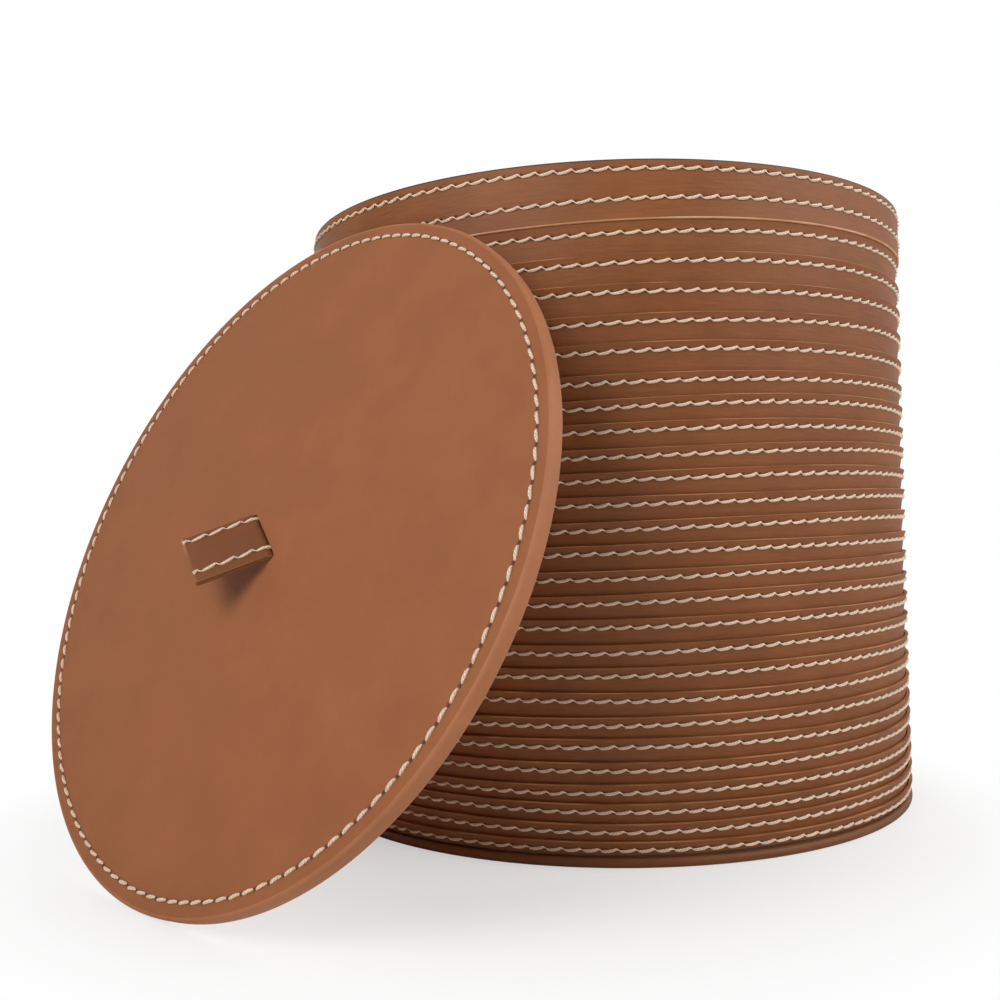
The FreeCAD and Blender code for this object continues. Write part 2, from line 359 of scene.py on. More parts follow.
def suede():
    material, tree = new_finish("brushed_suede")
    place = add(tree, "ShaderNodeTexCoord")["Object"]
    nap = add(tree, "ShaderNodeTexNoise", {"Scale": per_mm(NAP), "Detail": 4.0}, {"Vector": place})["Fac"]
    stroke = add(tree, "ShaderNodeTexNoise", {"Scale": per_mm(NAP_STROKE), "Detail": 3.0},
                 {"Vector": place})["Fac"]
    mixed = add(tree, "ShaderNodeMath", {"operation": "MULTIPLY_ADD", 1: 0.3}, {0: nap, 2: stroke})["Value"]
    colour = add(tree, "ShaderNodeMix", {"data_type": "RGBA", 6: linear("5E4331"), 7: linear("8C694E")},
                 {0: mixed})[2]
    bump = add(tree, "ShaderNodeBump", {"Strength": 0.5, "Distance": 0.2 * MM}, {"Height": nap})["Normal"]
    shader = add(tree, "ShaderNodeBsdfPrincipled",
                 {"IOR": 1.45, "Roughness": 0.95, "Sheen Weight": 0.3, "Sheen Roughness": 0.4},
                 {"Base Color": colour, "Normal": bump})["BSDF"]
    add(tree, "ShaderNodeOutputMaterial", None, {"Surface": shader})
    return material


def grey_board():
    material, tree = new_finish("grey_board")
    place = add(tree, "ShaderNodeTexCoord")["Object"]
    fleck = add(tree, "ShaderNodeTexNoise", {"Scale": per_mm(BOARD_FLECK), "Detail": 4.0},
                {"Vector": place})["Fac"]
    colour = add(tree, "ShaderNodeMix", {"data_type": "RGBA", 6: linear("5F5142"), 7: linear("7C6B58")},
                 {0: fleck})[2]
    shader = add(tree, "ShaderNodeBsdfPrincipled", {"IOR": 1.45, "Roughness": 0.9},
                 {"Base Color": colour})["BSDF"]
    add(tree, "ShaderNodeOutputMaterial", None, {"Surface": shader})
    return material


# Cut edges: paler cut leather, painted lighter still as painted light so that they show in shade
CUT_EDGE_PAINTED_LIGHT = cut_edge("cut_edge_painted_light", "8E5830", "BE8254")
# The rim's lower edge faces down into shade: paler raw leather, painted brighter still as painted light
RAW_EDGE_PAINTED_LIGHT = cut_edge("raw_edge_painted_light", "CE9463", "EBBB90")
PAINTED_EDGE = cut_edge("painted_leather_edge", "3A2418", "4A2E1E")
THREAD = linen_thread()
SUEDE = suede()
BOARD = grey_board()
STRIP_FINISHES = (STRIP_LEATHER, CUT_EDGE_PAINTED_LIGHT)
RIM_FINISHES = (STRIP_LEATHER, RAW_EDGE_PAINTED_LIGHT, PAINTED_EDGE)
LID_FINISHES = (LID_LEATHER_PAINTED_LIGHT, LID_EDGE_PAINTED_LIGHT)
TAB_FINISHES = (TAB_HIDE_PAINTED_SHADE, CUT_EDGE_PAINTED_LIGHT)
print("finishes:", [finish.name for finish in (CUT_EDGE_PAINTED_LIGHT, RAW_EDGE_PAINTED_LIGHT, PAINTED_EDGE, THREAD, SUEDE, BOARD)])

# %% [markdown]
# A stitch is a short length of thread that comes up through one hole, lies along the leather and goes
# down through the next. On the box it lies low, climbs to a peak and drops steeply, so that a row reads
# as one waving line. Curves with a bevel would do for a few, but thousands are lighter as tubes in one
# mesh for a row. Each row has a function from (along, across, out) to a place, so its stitches bend
# with the leather.

# %% Sew rows of stitches
# Each point of a stitch: share of the pitch along, then across, out and thread radius in millimetres
WAVY_STITCH = (
    (-0.50, -0.20, 0.00, 0.18),
    (-0.43, -0.36, 0.16, 0.34),
    (-0.28, -0.36, 0.27, 0.44),
    (-0.08, -0.24, 0.31, 0.48),
    (0.12, 0.00, 0.32, 0.48),
    (0.25, 0.30, 0.31, 0.43),
    (0.32, 0.40, 0.25, 0.34),
    (0.39, 0.20, 0.12, 0.22),
    (0.50, -0.20, 0.00, 0.18),
)
THREAD_SIDES = 7
STITCH_SWAY = 0.2
STITCH_SHIFT = 0.06


def sewn(name, place, pitch, numbers, path=WAVY_STITCH):
    """One mesh of stitches: place(along, across, out) says where a point of the row lies."""
    hand = random.Random(name)
    centres = [Vector((share * pitch, across * MM, out * MM)) for share, across, out, _ in path]
    radii = [radius * MM for *_, radius in path]
    verts = []
    faces = []
    uvs = []
    for number in numbers:
        middle = (number + 0.5) * pitch
        sway = hand.uniform(1 - STITCH_SWAY, 1 + STITCH_SWAY)
        shift = hand.uniform(-STITCH_SHIFT, STITCH_SHIFT) * MM
        first = len(verts)
        for k, centre in enumerate(centres):
            ahead = centres[min(k + 1, len(centres) - 1)] - centres[max(k - 1, 0)]
            side = Vector((0, 0, 1)).cross(ahead).normalized()
            rise = ahead.cross(side).normalized()
            for turn in range(THREAD_SIDES):
                angle = 2 * math.pi * turn / THREAD_SIDES
                point = centre + (side * math.cos(angle) + rise * math.sin(angle)) * radii[k]
                verts.append(place(middle + point.x, point.y + centre.y * (sway - 1) + shift, point.z))
        for k in range(len(centres) - 1):
            low = first + k * THREAD_SIDES
            high = low + THREAD_SIDES
            for turn in range(THREAD_SIDES):
                after = (turn + 1) % THREAD_SIDES
                faces.append((low + turn, low + after, high + after, high + turn))
                for ring, t in ((k, turn), (k, turn + 1), (k + 1, turn + 1), (k + 1, turn)):
                    uvs.append((middle + centres[ring].x, t / THREAD_SIDES))
        faces.append(tuple(reversed(range(first, first + THREAD_SIDES))))
        faces.append(tuple(range(len(verts) - THREAD_SIDES, len(verts))))
        uvs.extend([(middle, 0.0)] * 2 * THREAD_SIDES)
    piece = mesh_piece(name, verts, faces, [0] * len(faces), uvs, [THREAD])
    return piece


print("a stitch has", len(WAVY_STITCH) * THREAD_SIDES, "points")

# %% [markdown]
# Twenty-six strips ring the wall. Each laps over the foot of the one above, so it stands out furthest
# at its top edge and draws back towards the notch over the next one down, most of all just under its
# stitches. Real strips were cut and sewn one by one, so no two lie at quite the same level: each
# wanders up and down on its way round, and they share a skew of a millimetre or two, which fades out
# towards the base.

# %% Lapped strips
STRIP = 1.2 * MM
GLUE = 0.05 * MM
ROW_BELOW_EDGE = 2.4 * MM
HOLLOW = 2.6 * MM
HOLLOW_SHARE = 0.45
DRAWN_IN = 0.14 * MM
DRAWN_WIDTH = 0.8 * MM
EDGE_BEND = 0.25 * MM
EDGE_HOLD = 0.06 * MM
FACE_STEPS = 16
LAST_EDGE = 0.6 * MM
LAST_GAP = 0.6 * MM
SKEW = 1.5 * MM
SKEW_TURN = math.radians(164)
SKEW_SAG = 0.25
SKEW_FADE = 1.5
WANDER = 0.2 * MM
GOLDEN_ANGLE = math.pi * (3 - math.sqrt(5))
ROW_STITCHES = 127

foot_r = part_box("wall_tube")[1].x + GLUE
rim_low, rim_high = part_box("rim_band")
strip_nodes = sorted(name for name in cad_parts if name.startswith("band_"))


def skewed(angle):
    """Height of the common skew at an angle."""
    return SKEW * (math.sin(2 * angle + SKEW_TURN) - SKEW_SAG)


def wandering(number):
    """How far up or down a strip lies at each angle: its share of the skew and a little of its own."""
    turn = number * GOLDEN_ANGLE
    faded = math.cos(math.pi / 2 * (number / len(strip_nodes)) ** SKEW_FADE) ** 2
    return lambda angle, height: (faded * skewed(angle) + WANDER * math.sin(3 * angle + turn)
                                  + 0.5 * WANDER * math.sin(5 * angle + 2.3 * turn))


def drawn_in(off_row):
    """How far the thread pulls the leather in, at a distance from its row."""
    return DRAWN_IN * math.exp(-(off_row / DRAWN_WIDTH) ** 2)


def row_place(radius, height, tilt, wander, side=1):
    """Places along a row round the box, on a face that leans out by tilt; side -1 is inside the mouth."""
    def place(along, across, out):
        angle = side * along / radius
        reach = radius + side * out * math.cos(tilt) + across * math.sin(tilt)
        rise = across * math.cos(tilt) - out * math.sin(tilt)
        return (*circle(angle, reach), height + rise + wander(angle, height))
    return place


def strip_radius(height, foot, top, edge_r, end_r):
    """Face of a strip: hollow under its top edge, then nearly straight down to its foot."""
    down = top - height
    whole = top - foot
    hollow = (1 - math.exp(-down / HOLLOW)) / (1 - math.exp(-whole / HOLLOW))
    share = HOLLOW_SHARE * hollow + (1 - HOLLOW_SHARE) * down / whole
    return edge_r - (edge_r - end_r) * share


def sew_strip(number, node, foot, top, edge_r, row, crest, end_r):
    """A strip and its row of stitches: crest lists the corners after the face, which ends at end_r."""
    wander = wandering(number)
    phase = number * GOLDEN_ANGLE % 1
    heights = [foot + (top - EDGE_BEND - foot) * step / FACE_STEPS for step in range(FACE_STEPS)]
    heights.append(top - EDGE_BEND - EDGE_HOLD)
    face = []
    for height in heights:
        radius = strip_radius(height, foot, top, edge_r, end_r) - drawn_in(height - row)
        face.append((radius, height, 0.0, 0))
    strip = turned(f"strip_{number:02d}", bent(face + crest), STRIP_FINISHES, wander=wander,
                   from_row=lambda r, z: z - row, stitches=ROW_STITCHES, phase=phase)
    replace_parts(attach(strip, "box"), node)
    row_r = strip_radius(row, foot, top, edge_r, end_r) - DRAWN_IN
    tilt = math.atan2(edge_r - row_r, top - row)
    numbers = [n - phase for n in range(ROW_STITCHES)]
    pitch = 2 * math.pi * row_r / ROW_STITCHES
    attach(sewn(f"stitches_{number:02d}", row_place(row_r, row, tilt, wander), pitch, numbers), "box")


for number, node in enumerate(strip_nodes[1:], start=2):
    low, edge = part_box(node)
    last = node == strip_nodes[-1]
    foot = low.z + LAST_GAP if last else low.z
    end_r = foot_r + LAST_EDGE if last else foot_r
    crest = [(edge.x, edge.z, EDGE_BEND, 1), (edge.x - STRIP, edge.z, 0.0, 0), (foot_r, foot, 0.0, 0)]
    sew_strip(number, node, foot, edge.z, edge.x, edge.z - ROW_BELOW_EDGE, crest, end_r)
print("strips:", len(strip_nodes) - 1, "with", ROW_STITCHES, "stitches each")

# %% [markdown]
# At the top the order turns over: the rim's strip laps over the first one, and its raw lower edge, which
# faces down, is painted pale enough to be the brightest line on the box, partly the paler raw leather
# and partly painted light. Two rows sew it to the facing inside the mouth, where the same stitches come
# out. The first strip has its crest just under that edge, so it is made by the same function with
# another crown.

# %% First strip and rim
FIRST_ROW = 3.1 * MM
SKIVED = 0.4 * MM
RIM_ROWS = (2.7 * MM, 11.2 * MM)
RIM_EDGE = 0.6 * MM
RIM_EDGE_BEND = 0.45 * MM
FACING = 1.2 * MM
RIM_BEND = 0.4 * MM
RIM_STEPS = 34
FLARE_CURVE = 1.4

first_low, first_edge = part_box("band_01")
crest = [(first_edge.x, rim_low.z, 0.0, 0), (foot_r + SKIVED, first_edge.z, 0.0, 0),
         (foot_r, first_edge.z, 0.0, 0)]
sew_strip(1, "band_01", first_low.z, rim_low.z, first_edge.x, rim_low.z - FIRST_ROW, crest, foot_r)

facing_low, facing_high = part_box("rim_facing")
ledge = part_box("wall_lining")[1].z
rim_inner = facing_high.x + GLUE
rim_outer = rim_inner + STRIP
flare = rim_high.x - rim_outer
rim_rows = [rim_high.z - down for down in RIM_ROWS]


def off_rim_row(radius, height):
    return min(abs(height - row) for row in rim_rows)


def rim_radius(height):
    """Upright above the ledge and flared out below it."""
    return rim_outer + flare * max(0, (ledge - height) / (ledge - rim_low.z)) ** FLARE_CURVE


def rim_wander(angle, height):
    """The rim is level at its top edge and has the whole skew from its lower row down."""
    return skewed(angle) * min(1, (rim_high.z - height) / RIM_ROWS[1])


rim_steps = [rim_low.z + (rim_high.z - rim_low.z) * step / RIM_STEPS for step in range(1, RIM_STEPS)]
rim_steps = sorted(rim_steps + rim_rows)
outline = [(rim_high.x - RIM_EDGE, rim_low.z, 0.0, 1), (rim_high.x, rim_low.z, RIM_EDGE_BEND, 0)]
outline += [(rim_radius(z) - drawn_in(off_rim_row(0, z)), z, 0.0, 0) for z in rim_steps]
outline += [(rim_outer, rim_high.z, RIM_BEND, 2), (rim_inner, rim_high.z, 0.0, 0),
            (rim_inner, ledge, 0.0, 0)]
rim = turned("rim_strip", bent(outline), RIM_FINISHES, wander=rim_wander, from_row=off_rim_row,
             stitches=ROW_STITCHES)
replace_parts(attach(rim, "box"), "rim_band")

facing_inner = facing_high.x - FACING
outline = [(facing_inner, facing_low.z, 0.0, 0), (facing_high.x, facing_low.z, 0.0, 0),
           (facing_high.x, facing_high.z, 0.0, 2), (facing_inner, facing_high.z, RIM_BEND, 0)]
seen_steps = [z for z in reversed(rim_steps) if z > ledge]
outline += [(facing_inner + drawn_in(off_rim_row(0, z)), z, 0.0, 0) for z in seen_steps]
facing = turned("mouth_facing", bent(outline), RIM_FINISHES, from_row=off_rim_row, stitches=ROW_STITCHES)
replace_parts(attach(facing, "box"), "rim_facing")

for name, row in zip(("upper", "lower"), rim_rows):
    row_r = rim_radius(row) - DRAWN_IN
    pitch = 2 * math.pi * row_r / ROW_STITCHES
    outside = row_place(row_r, row, 0.0, rim_wander)
    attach(sewn(f"stitches_rim_{name}", outside, pitch, range(ROW_STITCHES)), "box")
    pitch = 2 * math.pi * facing_inner / ROW_STITCHES
    inside = row_place(facing_inner, row, 0.0, level, side=-1)
    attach(sewn(f"stitches_mouth_{name}", inside, pitch, range(ROW_STITCHES)), "box")
print("rim at", round(rim_high.z / MM, 1), "mm with rows at", [round(row / MM, 1) for row in rim_rows])

# %% [markdown]
# The base is a disc of board with leather turned up round its edge, a little wider than the wall, so
# that a rounded lip shows below the last strip. Inside, suede covers the wall, the ledge that carries
# the lid, and the floor. The boards stay as the frame has them, since nothing of them can be seen.

# %% Base, lining and boards
BASE_LEATHER = 0.9 * MM
BASE_TURN_UP = 1.1 * MM
BASE_TURN_IN = 0.7 * MM
BASE_FLANGE = 9.0 * MM
LINING = 0.6 * MM
FIT = 0.2 * MM
LIP_STEPS = 12

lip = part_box("base_cover")[1]
lip_round = lip.z / 2
outline = [(0.0, 0.0, 0)]
for step in range(LIP_STEPS + 1):
    angle = math.pi * (step / LIP_STEPS - 0.5)
    outline.append((lip.x - lip_round + lip_round * math.cos(angle), lip_round * (1 + math.sin(angle)), 0))
outline += [(lip.x - BASE_FLANGE, lip.z, 0), (lip.x - BASE_FLANGE, lip.z - BASE_TURN_IN, 0),
            (lip.x - BASE_TURN_UP, lip.z - BASE_TURN_IN, 0), (lip.x - BASE_TURN_UP, BASE_LEATHER, 0),
            (0.0, BASE_LEATHER, 0)]
base = turned("base_leather", outline, [BASE_HIDE_PAINTED_SHADE])
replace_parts(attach(base, "box"), "base_cover")

floor_low, floor_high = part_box("floor_lining")
lining_low, lining_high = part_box("wall_lining")
lining_r = floor_high.x + FIT
outline = [(lining_r, lining_low.z, 0.0, 0), (lining_r + LINING, lining_low.z, 0.0, 0),
           (lining_r + LINING, ledge - LINING, 0.0, 0), (lining_high.x, ledge - LINING, 0.0, 0),
           (lining_high.x, ledge, 0.0, 0), (lining_r, ledge, LINING, 0)]
wall_suede = turned("wall_suede", bent(outline), [SUEDE])
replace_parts(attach(wall_suede, "box"), "wall_lining")
outline = [(0.0, floor_low.z, 0.0, 0), (floor_high.x, floor_low.z, 0.0, 0),
           (floor_high.x, floor_high.z, LINING / 2, 0), (0.0, floor_high.z, 0.0, 0)]
floor_suede = turned("floor_suede", bent(outline), [SUEDE])
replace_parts(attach(floor_suede, "box"), "floor_lining")

for node in ("wall_tube", "floor_board", "base_board", "lid_core"):
    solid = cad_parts[node]
    solid.data.materials.clear()
    solid.data.materials.append(BOARD)
print("base lip", round(lip.z / MM, 1), "mm high, floor at", round(floor_high.z / MM, 1), "mm")

# %% [markdown]
# The lid is built flat, in its own frame, and then placed as the frame has it: standing on the floor,
# leaning on the rim and turned so that its tab points down to the left. Its board gives the place,
# being even all round. The cover is one turned outline too, whose plan changes from a circle to the
# tab's slot towards the middle.

# %% Lid
LID_BEARING = math.radians(39.6)
LID_LEAN = math.radians(23.3)
LID_TURN = math.radians(1.6)
LID_SPIN = math.radians(50.8)
LID_SKIN = 1.2 * MM
LID_BOARD = 1.4 * MM
LID_BACK = 1.75 * MM
LID_TOP_ROUND = 1.1 * MM
BACK_BEND = 0.6 * MM
LID_ROW = 4.65 * MM
LID_STITCHES = 126
SLOT_GAP = 2.4 * MM
SLOT_R = 3.0 * MM
SLOT_FREE_R = 16.0 * MM
SLOT_LIFT = 0.45 * MM
SLOT_LIFT_CURVE = 4
SLOT_BEND = 0.45 * MM
SLOT_SQUARENESS = 10
ROW_RINGS = 14
ROW_RING_STEP = 0.5 * MM
FACE_RINGS = (90, 75, 60, 45, 30, 22)
SLOT_RINGS = (12, 9, 6.5, 5, 4)

leaned = Matrix(((0, -math.sin(LID_LEAN), math.cos(LID_LEAN)), (1, 0, 0),
                 (0, math.cos(LID_LEAN), math.sin(LID_LEAN)))).to_4x4()
facing_out = Matrix.Rotation(math.radians(270) - LID_BEARING + LID_TURN, 4, "Z")
lid_turn = facing_out @ leaned @ Matrix.Rotation(LID_SPIN, 4, "Z")
board_low, board_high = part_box("lid_core")
board_middle = LID_SKIN + GLUE + (LID_BOARD - GLUE) / 2
lid_middle = (board_low + board_high) / 2 + lid_turn.to_3x3() @ Vector((0, 0, board_middle))
lid_place = Matrix.Translation(lid_middle) @ lid_turn


def lid_points(node):
    """Points of a node of the frame, in the lid's own frame."""
    back = lid_place.inverted()
    return [back @ vertex.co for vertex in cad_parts[node].data.vertices]


lid_r = max(point.xy.length for point in lid_points("lid_cover"))
tab_width = 2 * max(point.y for point in lid_points("pull_tab"))
lid_row_r = lid_r - LID_ROW
skirt = LID_SKIN + LID_BOARD
hollow_r = lid_r - LID_SKIN


def slotted(angle, radius):
    """Plan of the cover: circles, which close in on the tab's slot near the middle."""
    if radius >= SLOT_FREE_R:
        return circle(angle, radius)
    share = (radius - SLOT_R) / (SLOT_FREE_R - SLOT_R)
    power = 2 / SLOT_SQUARENESS
    across = math.copysign(abs(math.cos(angle)) ** power, math.cos(angle)) * SLOT_GAP / 2
    along = math.copysign(abs(math.sin(angle)) ** power, math.sin(angle)) * (tab_width / 2 + FIT / 2)
    x, y = circle(angle, SLOT_FREE_R)
    return across + (x - across) * share, along + (y - along) * share


def off_lid_row(radius, height):
    return lid_row_r - radius


def lid_top(radius):
    """Height of the cover's face: drawn in along the stitches, pushed up a little by the tab at the slot."""
    lift = SLOT_LIFT * max(0, 1 - (radius - SLOT_R) / (SLOT_FREE_R - SLOT_R)) ** SLOT_LIFT_CURVE
    return lift - drawn_in(lid_row_r - radius)


# Finish 1 is the lid's edge leather, painted paler as a painted highlight on the side and the rounding
outline = [(SLOT_R, -LID_SKIN, 0.0, 0), (hollow_r, -LID_SKIN, 0.0, 0), (hollow_r, -skirt, 0.0, 0),
           (lid_r, -skirt, 0.0, 1), (lid_r, 0.0, LID_TOP_ROUND, 0)]
band_edge = lid_r - 2 * LID_TOP_ROUND
radii = [band_edge - step * ROW_RING_STEP for step in range(ROW_RINGS)]
radii += [radius * MM for radius in FACE_RINGS]
radii += [SLOT_FREE_R] + [radius * MM for radius in SLOT_RINGS]
outline += [(radius, lid_top(radius), 0.0, 0) for radius in radii]
outline.append((SLOT_R, lid_top(SLOT_R), SLOT_BEND, 0))
cover = turned("lid_leather_top", bent(outline), LID_FINISHES, plan=slotted, from_row=off_lid_row,
               stitches=LID_STITCHES)

back_foot = -skirt - GLUE - LID_BACK
outline = [(0.0, back_foot, 0.0, 0), (lid_r, back_foot, BACK_BEND, 1), (lid_r, -skirt, 0.0, 0),
           (0.0, -skirt, 0.0, 0)]
lid_back = turned("lid_leather_back", bent(outline), LID_FINISHES, from_row=off_lid_row,
                  stitches=LID_STITCHES)
for piece, node in ((cover, "lid_cover"), (lid_back, "lid_underside")):
    piece.data.transform(lid_place)
    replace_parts(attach(piece, "lid"), node)
print("lid radius", round(lid_r / MM, 2), "mm, face at", [round(v / MM, 1) for v in lid_middle])

# %% [markdown]
# Round the lid the stitches lie apart: plump slanted dashes with a needle hole between each two, so
# they have a path of their own. The row goes right through the lid and shows on its back as well.

# %% Lid stitches
DASH_STITCH = (
    (-0.37, -0.18, -0.34, 0.24),
    (-0.33, -0.19, 0.04, 0.36),
    (-0.18, -0.12, 0.26, 0.47),
    (0.00, 0.00, 0.31, 0.51),
    (0.18, 0.12, 0.26, 0.47),
    (0.32, 0.19, 0.04, 0.36),
    (0.36, 0.18, -0.34, 0.24),
)
lid_pitch = 2 * math.pi * lid_row_r / LID_STITCHES


def lid_row_place(surface, side):
    """Places along the lid's row, on its face (side 1) or its back (side -1)."""
    def place(along, across, out):
        return (*circle(side * along / lid_row_r, lid_row_r - across), surface + side * out)
    return place


for name, surface, side in (("stitches_lid", lid_top(lid_row_r), 1), ("stitches_lid_back", back_foot, -1)):
    row = sewn(name, lid_row_place(surface, side), lid_pitch, range(LID_STITCHES), DASH_STITCH)
    row.data.transform(lid_place)
    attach(row, "lid")
print("lid row:", LID_STITCHES, "stitches of", round(lid_pitch / MM, 2), "mm")

# %% [markdown]
# The pull tab is one strip folded double. Its ends come up through the slot from inside the lid, where
# they lie spread and glued. A path of straight runs and arcs follows the strip's middle, and a section
# with softened edges is swept along it. Two rows of stitches run along the long edges and over the
# fold.

# %% Pull tab
TAB_LEATHER = 0.8 * MM
TAB_SLIT = 0.1 * MM
TAB_LENGTH = 20.0 * MM
TAB_BEND = 1.2 * MM
TAB_LEAN = 52.6
TAB_RISE = 0.2 * MM
TAB_EDGE_BEND = 0.2 * MM
TAIL_LENGTH = 12.0 * MM
TAB_ROWS = {"upper": 2.4 * MM, "lower": -3.8 * MM}
TAB_STITCHES = 4
ARC_STEPS = 10


def swing(centre, radius, start, end):
    """Points of an arc in the tab's side view, with angles in degrees."""
    angles = [math.radians(start + (end - start) * step / ARC_STEPS) for step in range(ARC_STEPS + 1)]
    return [centre + Vector(circle(angle, radius)) for angle in angles]


half = (TAB_LEATHER + TAB_SLIT) / 2
tail_bend = GLUE + TAB_LEATHER / 2
tail_z = -LID_SKIN - tail_bend
lean_centre = Vector((-half - TAB_BEND, TAB_RISE))
leaning = Vector(circle(math.radians(90 + TAB_LEAN), 1))
tip = lean_centre + Vector(circle(math.radians(TAB_LEAN), TAB_BEND + half)) + leaning * TAB_LENGTH
tab_path = [Vector((-half - TAIL_LENGTH, tail_z))]
tab_path += swing(Vector((-half - tail_bend, -LID_SKIN)), tail_bend, -90, 0)
tab_path += swing(lean_centre, TAB_BEND, 0, TAB_LEAN)
fold_start = len(tab_path)
tab_path += swing(tip, half, TAB_LEAN + 180, TAB_LEAN)
tab_path += swing(lean_centre, TAB_BEND + 2 * half, TAB_LEAN, 0)
tab_path += swing(Vector((half + tail_bend, -LID_SKIN)), tail_bend, 180, 270)
tab_path.append(Vector((half + TAIL_LENGTH, tail_z)))

lengths = [0.0]
for a, b in zip(tab_path, tab_path[1:]):
    lengths.append(lengths[-1] + (b - a).length)
fold_length = lengths[fold_start + ARC_STEPS // 2]
aheads = [(b - a).normalized() for a, b in zip(tab_path[:1] + tab_path, tab_path[1:] + tab_path[-1:])]
outs = [Vector((-ahead.y, ahead.x)) for ahead in aheads]

side_y = tab_width / 2
skin = TAB_LEATHER / 2
tab_rows = {name: math.copysign(side_y, inset) - inset for name, inset in TAB_ROWS.items()}
section = [(side_y, skin, TAB_EDGE_BEND, 0)]
for row in tab_rows.values():
    section += [(row + off, skin, 0.0, 0) for off in (GROOVE * MM, 0.0, -GROOVE * MM)]
section += [(-side_y, skin, TAB_EDGE_BEND, 1), (-side_y, -skin, TAB_EDGE_BEND, 0),
            (side_y, -skin, TAB_EDGE_BEND, 1)]
section = bent(section)


def tab_uv(k, j):
    """Stitches from the fold, and on the outside the distance from the nearer row."""
    y, thick, _ = section[j]
    off_row = min(abs(y - row) for row in tab_rows.values()) if thick > 0 else FAR_FROM_SEWING
    return (lengths[k] - fold_length) / (STITCH * MM) + 0.5, off_row


verts = []
for point, out in zip(tab_path, outs):
    for y, thick, _ in section:
        spot = point + out * thick
        verts.append((spot.x, y, spot.y))
faces = []
picks = []
uvs = []
ring = len(section)
# The outer half of the fold takes the pale cut-edge finish, as a painted highlight along the fold
fold_painted_highlight = range(fold_start + ARC_STEPS // 2, fold_start + ARC_STEPS)
for k in range(len(tab_path) - 1):
    for j, (_, _, finish) in enumerate(section):
        after = (j + 1) % ring
        faces.append((k * ring + j, k * ring + after, (k + 1) * ring + after, (k + 1) * ring + j))
        picks.append(1 if k in fold_painted_highlight else finish)
        uvs += [tab_uv(k, j), tab_uv(k, after), tab_uv(k + 1, after), tab_uv(k + 1, j)]
faces.append(tuple(reversed(range(ring))))
faces.append(tuple(range(len(verts) - ring, len(verts))))
picks += [1, 1]
uvs += [(0.0, FAR_FROM_SEWING)] * 2 * ring
tab = mesh_piece("pull_tab_leather", verts, faces, picks, uvs, TAB_FINISHES)
tab.data.transform(lid_place)
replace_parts(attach(tab, "lid"), "pull_tab")


def tab_row_place(row_y):
    """Places along a row on the outside of the folded strip, measured from the fold."""
    def place(along, across, out):
        length = fold_length + along
        k = min(max(bisect.bisect(lengths, length) - 1, 0), len(tab_path) - 2)
        share = (length - lengths[k]) / (lengths[k + 1] - lengths[k])
        normal = outs[k].lerp(outs[k + 1], share)
        spot = tab_path[k].lerp(tab_path[k + 1], share) + normal * (TAB_LEATHER / 2 + out)
        return spot.x, row_y + across, spot.y
    return place


for name, row_y in tab_rows.items():
    numbers = [n - 0.5 for n in range(-TAB_STITCHES, TAB_STITCHES + 1)]
    row = sewn(f"stitches_tab_{name}", tab_row_place(row_y), STITCH * MM, numbers)
    row.data.transform(lid_place)
    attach(row, "lid")
print("tab", round(tab_width / MM, 1), "mm wide, strip", round(lengths[-1] / MM, 1), "mm long")

# %% [markdown]
# The floor is a plain pale sheet. A studio sweep could hide the horizon, but a wide floor that the
# camera sees as white a little way off does the same, and near the box it keeps the soft shadows. The
# backdrop is white to the eye and in reflections, while the room on the camera's side is dimmer, so the
# leather shows a sheen towards its sides and its own colour in front. One soft lamp stands in front to
# the left, so that the lid shades the box beside it. A second one, further off to the right, lights the
# strips along their curve, and a third one behind the box keeps its back and its inside from going
# dark.

# %% Floor and light
FLOOR_SIZE = 6.0
FLOOR_MIDDLE = (-0.04, -0.04, 0.0)
FLOOR_NEAR = 0.09
FLOOR_FAR = 0.2
FLOOR_LIFT = 0.52
SKY_LIGHT = 0.08
ROOM_LIGHT = 0.2
ROOM_FRONT = -0.4
ROOM_BACK = 0.5
AIM = (-0.03, -0.08, 0.1)

bpy.ops.mesh.primitive_circle_add(vertices=96, radius=FLOOR_SIZE, fill_type="NGON")
floor = bpy.context.object
floor.name = "floor"
paper, tree = new_finish("white_floor")
seen = add(tree, "ShaderNodeLightPath")
place = add(tree, "ShaderNodeTexCoord")["Object"]
away = add(tree, "ShaderNodeVectorMath", {"operation": "DISTANCE", 1: FLOOR_MIDDLE}, {0: place})["Value"]
lift = add(tree, "ShaderNodeMapRange", {"interpolation_type": "SMOOTHSTEP", "From Min": FLOOR_NEAR,
           "From Max": FLOOR_FAR, "To Min": FLOOR_LIFT, "To Max": 1.0}, {"Value": away})["Result"]
eye = add(tree, "ShaderNodeMath", {"operation": "MULTIPLY"}, {0: lift, 1: seen["Is Camera Ray"]})["Value"]
matt = add(tree, "ShaderNodeBsdfDiffuse", {"Color": linear("F4F4F2")})["BSDF"]
glow = add(tree, "ShaderNodeEmission", {"Color": linear("FFFFFF"), "Strength": 1.0})["Emission"]
lifted = add(tree, "ShaderNodeMixShader", None, {0: eye, 1: matt, 2: glow})["Shader"]
add(tree, "ShaderNodeOutputMaterial", None, {"Surface": lifted})
floor.data.materials.append(paper)

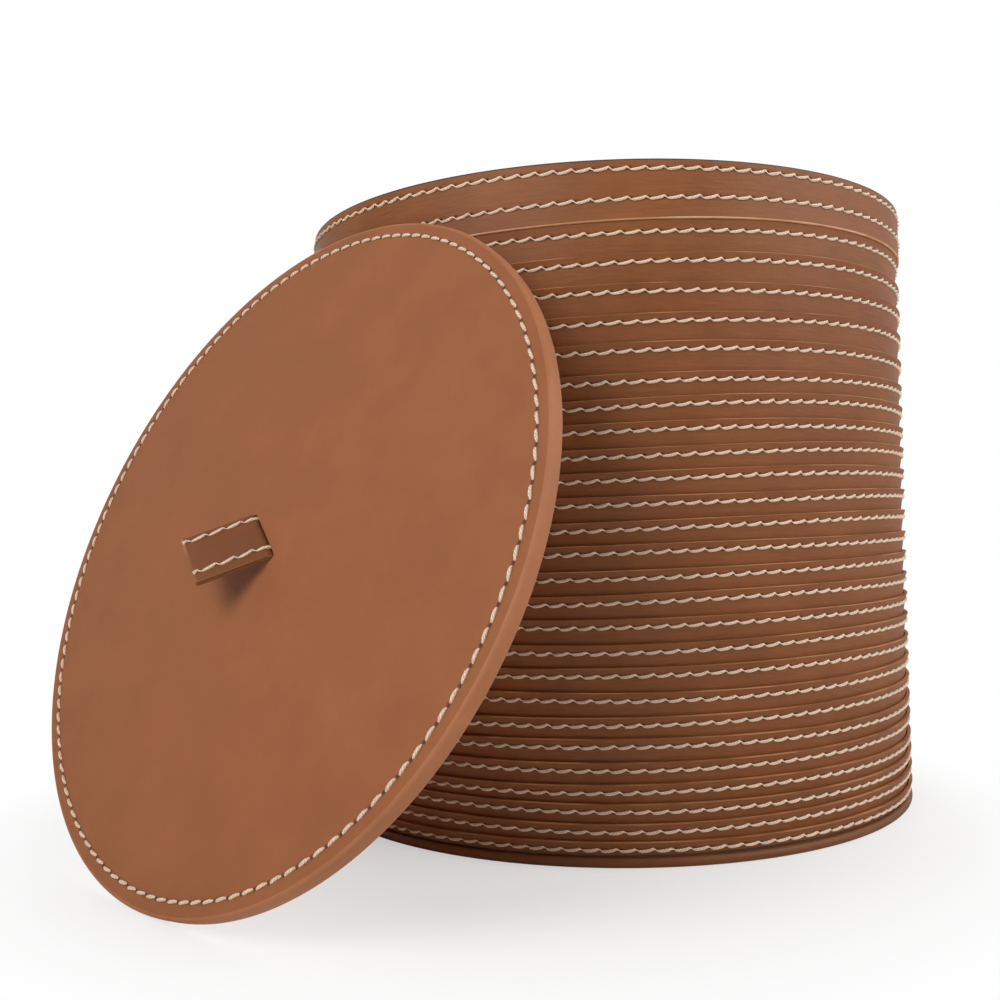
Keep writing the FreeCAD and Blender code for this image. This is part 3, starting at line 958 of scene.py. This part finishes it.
world = bpy.data.worlds.new("white_studio")
world.use_nodes = True
world.node_tree.nodes.clear()
tree = world.node_tree
seen = add(tree, "ShaderNodeLightPath")
looking = add(tree, "ShaderNodeTexCoord")["Generated"]
looking = add(tree, "ShaderNodeSeparateXYZ", None, {"Vector": looking})["Y"]
room = add(tree, "ShaderNodeMapRange", {"From Min": ROOM_FRONT, "From Max": ROOM_BACK,
           "To Min": ROOM_LIGHT, "To Max": 1.0}, {"Value": looking})["Result"]
straight = add(tree, "ShaderNodeMath", {"operation": "ADD"},
               {0: seen["Is Camera Ray"], 1: seen["Is Transmission Ray"]})["Value"]
white = add(tree, "ShaderNodeMath", {"operation": "MAXIMUM"}, {0: straight, 1: room})["Value"]
shown = add(tree, "ShaderNodeMath", {"operation": "ADD"}, {0: straight, 1: seen["Is Glossy Ray"]})["Value"]
level_of = add(tree, "ShaderNodeMapRange", {"To Min": SKY_LIGHT, "To Max": 1.0}, {"Value": shown})["Result"]
strength = add(tree, "ShaderNodeMath", {"operation": "MULTIPLY"}, {0: white, 1: level_of})["Value"]
sky = add(tree, "ShaderNodeBackground", {"Color": linear("FFFFFF")}, {"Strength": strength})["Background"]
add(tree, "ShaderNodeOutputWorld", None, {"Surface": sky})
bpy.context.scene.world = world


def softbox(name, place, size, power):
    """Square soft lamp that points at the middle of the group."""
    lamp = bpy.data.lights.new(name, "AREA")
    lamp.shape = "SQUARE"
    lamp.size = size
    lamp.energy = power
    holder = bpy.data.objects.new(name, lamp)
    holder.location = place
    holder.rotation_euler = (Vector(AIM) - Vector(place)).to_track_quat("-Z", "Y").to_euler()
    bpy.context.scene.collection.objects.link(holder)


softbox("left_softbox", (-0.33, -0.56, 0.44), 0.4, 2.75)
softbox("right_softbox", (0.97, -0.34, 0.73), 0.9, 9.8)
softbox("back_softbox", (-0.25, 0.95, 0.6), 0.8, 6.0)
print("lights:", [light.name for light in bpy.data.lights])

# %% [markdown]
# The camera stands close, level with the middle of the box and turned a little to the left, so that the
# upper strips curve up and the lower ones down. Its place, turn and lens were worked out from the
# photograph's own perspective.

# %% Camera
EYE = Vector((0.0, -441.5, 104.8)) * MM
YAW = math.radians(-5.329)
PITCH = math.radians(0.628)
ROLL = math.radians(-1.210)
LENS = 40.61
SENSOR = 36

camera = bpy.data.objects.new("camera", bpy.data.cameras.new("camera"))
camera.data.sensor_width = SENSOR
camera.data.lens = LENS
camera.data.clip_start = 0.01
turn = Matrix.Rotation(-YAW, 4, "Z") @ Matrix.Rotation(math.radians(90) + PITCH, 4, "X")
camera.matrix_world = Matrix.Translation(EYE) @ turn @ Matrix.Rotation(ROLL, 4, "Z")
bpy.context.scene.collection.objects.link(camera)
bpy.context.scene.camera = camera
bpy.context.scene.view_settings.view_transform = "Standard"
print("camera at", [round(v / MM, 1) for v in EYE], "mm with a lens of", LENS, "mm")
